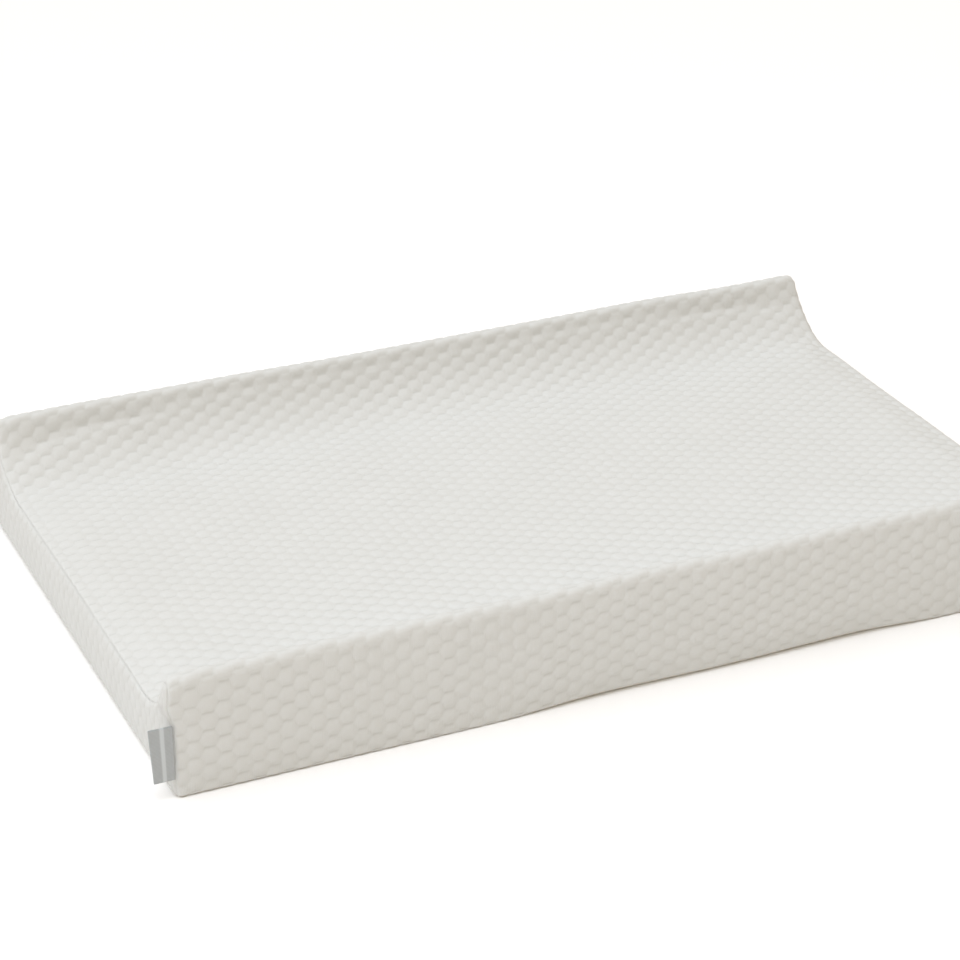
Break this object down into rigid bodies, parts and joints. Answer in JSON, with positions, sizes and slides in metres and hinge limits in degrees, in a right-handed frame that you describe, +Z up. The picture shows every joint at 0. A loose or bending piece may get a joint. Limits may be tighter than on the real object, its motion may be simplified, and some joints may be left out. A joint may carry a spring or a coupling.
{
  "type": "changing pad",
  "caption": "Contoured changing pad: trough-shaped foam core, waterproof liner and a honeycomb-knit cover with a back zip.",
  "frame": {"origin": "centre of the pad's underside, on the surface it lies on", "axes": "+X along the pad, +Y towards the back face with the zip, +Z up"},
  "size_m": [0.7365, 0.4483, 0.09],
  "materials": {
    "foam": "open-cell polyurethane foam, cut, off-white",
    "liner_film": "thin white waterproof polyurethane film on knit",
    "cover_knit": "off-white padded jacquard knit with raised honeycomb cells",
    "base_cloth": "off-white plain woven cloth",
    "zip_tape": "white woven polyester tape",
    "zip_coil": "white nylon coil",
    "zip_stop": "white moulded plastic",
    "zip_metal": "die-cast, white lacquer",
    "tag_ribbon": "grey woven ribbon with a paler line",
    "care_satin": "white satin ribbon, blank"
  },
  "bodies": {
    "pad": {"foam_core": "foam", "liner_wrap": "liner_film", "liner_left_end": "liner_film", "liner_right_end": "liner_film", "liner_base": "liner_film", "cover_wrap": "cover_knit", "cover_left_end": "cover_knit", "cover_right_end": "cover_knit", "cover_back_strip": "cover_knit", "cover_base": "base_cloth", "zip_tape_upper": "zip_tape", "zip_tape_lower": "zip_tape", "zip_coil_upper": "zip_coil", "zip_coil_lower": "zip_coil", "zip_top_stops": "zip_stop", "zip_bottom_stop": "zip_stop"},
    "slider": {"zip_slider": "zip_metal"},
    "pull_tab": {"zip_pull_tab": "zip_metal"},
    "tag": {"side_tag": "tag_ribbon"},
    "label": {"care_label": "care_satin"}
  },
  "joints": [
    {"name": "zip_slide", "type": "slide", "parent": "pad", "child": "slider", "axis": [1, 0, 0], "range_m": [-0.574, 0]},
    {"name": "pull_tab_flip", "type": "hinge", "parent": "slider", "child": "pull_tab", "pos_m": [0.2875, 0.2224, 0.022], "axis": [0, 0, -1], "range_deg": [0, 180]},
    {"name": "tag_bend", "type": "hinge", "parent": "pad", "child": "tag", "pos_m": [-0.35998, -0.21999, 0.0365], "axis": [0, 0, 1], "range_deg": [-70, 155]},
    {"name": "label_bend", "type": "hinge", "parent": "pad", "child": "label", "pos_m": [-0.35974, 0.21974, 0.049], "axis": [0, 0, 1], "range_deg": [0, 225]}
  ]
}
